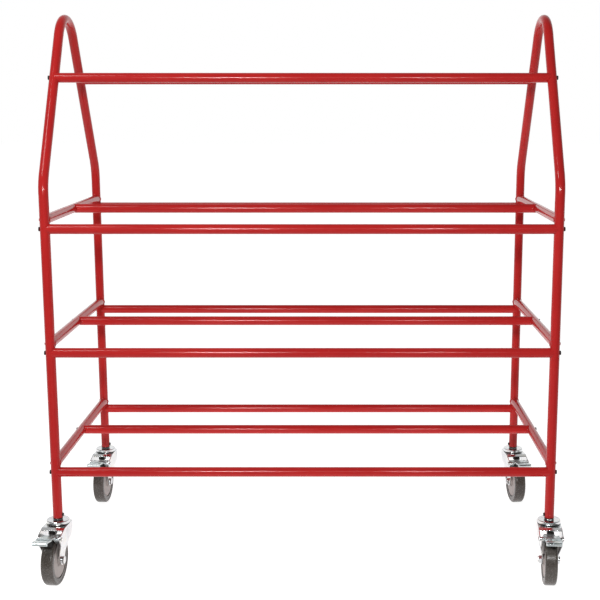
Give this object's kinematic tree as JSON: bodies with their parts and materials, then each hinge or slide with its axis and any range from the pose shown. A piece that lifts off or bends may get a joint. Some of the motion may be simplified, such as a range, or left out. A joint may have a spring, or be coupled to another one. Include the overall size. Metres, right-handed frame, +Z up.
{
  "type": "saddle rack",
  "caption": "Free-standing mobile saddle rack of round steel tube: two arched end frames, rails on several levels and lockable swivel casters.",
  "frame": {"origin": "on the floor, midway between the four leg axes", "axes": "+X along the rails, -Y to the front, where the brake pedals point, +Z up"},
  "size_m": [1.3604, 0.7873, 1.4628],
  "materials": {
    "red_paint": "gloss powder coat",
    "zinc": "bright zinc plate",
    "black_steel": "black oxide",
    "grey_plastic": "moulded grey",
    "grey_rubber": "worn grey rubber",
    "black_rubber": "matt"
  },
  "bodies": {
    "rack": {"hoop_left": "red_paint", "hoop_right": "red_paint", "crossbar_left_lower": "red_paint", "crossbar_left_middle": "red_paint", "crossbar_left_upper": "red_paint", "crossbar_right_lower": "red_paint", "crossbar_right_middle": "red_paint", "crossbar_right_upper": "red_paint", "rail_lower_front": "red_paint", "rail_lower_centre": "red_paint", "rail_lower_rear": "red_paint", "rail_middle_front": "red_paint", "rail_middle_centre": "red_paint", "rail_middle_rear": "red_paint", "rail_upper_front": "red_paint", "rail_upper_centre": "red_paint", "rail_upper_rear": "red_paint", "rail_top_front": "red_paint", "rail_top_rear": "red_paint", "screws_left": "black_steel", "screws_right": "black_steel", "rail_plugs": "zinc", "leg_inserts": "black_steel", "leg_screws": "black_steel", "front_left_head": "zinc", "front_right_head": "zinc", "rear_left_head": "zinc", "rear_right_head": "zinc"},
    "front_left_swivel": {"front_left_fork": "zinc", "front_left_balls": "black_steel", "front_left_axle": "zinc", "front_left_pin": "zinc"},
    "front_left_wheel": {"front_left_core": "grey_plastic", "front_left_tyre": "grey_rubber"},
    "front_left_brake": {"front_left_pedal": "zinc", "front_left_shoe": "black_rubber"},
    "front_right_swivel": {"front_right_fork": "zinc", "front_right_balls": "black_steel", "front_right_axle": "zinc", "front_right_pin": "zinc"},
    "front_right_wheel": {"front_right_core": "grey_plastic", "front_right_tyre": "grey_rubber"},
    "front_right_brake": {"front_right_pedal": "zinc", "front_right_shoe": "black_rubber"},
    "rear_left_swivel": {"rear_left_fork": "zinc", "rear_left_balls": "black_steel", "rear_left_axle": "zinc", "rear_left_pin": "zinc"},
    "rear_left_wheel": {"rear_left_core": "grey_plastic", "rear_left_tyre": "grey_rubber"},
    "rear_left_brake": {"rear_left_pedal": "zinc", "rear_left_shoe": "black_rubber"},
    "rear_right_swivel": {"rear_right_fork": "zinc", "rear_right_balls": "black_steel", "rear_right_axle": "zinc", "rear_right_pin": "zinc"},
    "rear_right_wheel": {"rear_right_core": "grey_plastic", "rear_right_tyre": "grey_rubber"},
    "rear_right_brake": {"rear_right_pedal": "zinc", "rear_right_shoe": "black_rubber"}
  },
  "joints": [
    {"name": "front_left_swivel", "type": "hinge", "parent": "rack", "child": "front_left_swivel", "pos_m": [-0.641, -0.305, 0.151], "axis": [0, 0, 1], "continuous": true},
    {"name": "front_left_wheel_spin", "type": "hinge", "parent": "front_left_swivel", "child": "front_left_wheel", "pos_m": [-0.64449, -0.34485, 0.065], "axis": [0.9962, -0.0872, 0], "continuous": true},
    {"name": "front_left_brake", "type": "hinge", "parent": "front_left_swivel", "child": "front_left_brake", "pos_m": [-0.64675, -0.37075, 0.131], "axis": [0.9962, -0.0872, 0], "range_deg": [0, 14]},
    {"name": "front_right_swivel", "type": "hinge", "parent": "rack", "child": "front_right_swivel", "pos_m": [0.641, -0.305, 0.151], "axis": [0, 0, 1], "continuous": true},
    {"name": "front_right_wheel_spin", "type": "hinge", "parent": "front_right_swivel", "child": "front_right_wheel", "pos_m": [0.63751, -0.34485, 0.065], "axis": [0.9962, -0.0872, 0], "continuous": true},
    {"name": "front_right_brake", "type": "hinge", "parent": "front_right_swivel", "child": "front_right_brake", "pos_m": [0.63525, -0.37075, 0.131], "axis": [0.9962, -0.0872, 0], "range_deg": [0, 14]},
    {"name": "rear_left_swivel", "type": "hinge", "parent": "rack", "child": "rear_left_swivel", "pos_m": [-0.641, 0.305, 0.151], "axis": [0, 0, 1], "continuous": true},
    {"name": "rear_left_wheel_spin", "type": "hinge", "parent": "rear_left_swivel", "child": "rear_left_wheel", "pos_m": [-0.64344, 0.26507, 0.065], "axis": [0.9981, -0.061, 0], "continuous": true},
    {"name": "rear_left_brake", "type": "hinge", "parent": "rear_left_swivel", "child": "rear_left_brake", "pos_m": [-0.64503, 0.23912, 0.131], "axis": [0.9981, -0.061, 0], "range_deg": [0, 14]},
    {"name": "rear_right_swivel", "type": "hinge", "parent": "rack", "child": "rear_right_swivel", "pos_m": [0.641, 0.305, 0.151], "axis": [0, 0, 1], "continuous": true},
    {"name": "rear_right_wheel_spin", "type": "hinge", "parent": "rear_right_swivel", "child": "rear_right_wheel", "pos_m": [0.64518, 0.26522, 0.065], "axis": [0.9945, 0.1045, 0], "continuous": true},
    {"name": "rear_right_brake", "type": "hinge", "parent": "rear_right_swivel", "child": "rear_right_brake", "pos_m": [0.6479, 0.23936, 0.131], "axis": [0.9945, 0.1045, 0], "range_deg": [0, 14]}
  ]
}
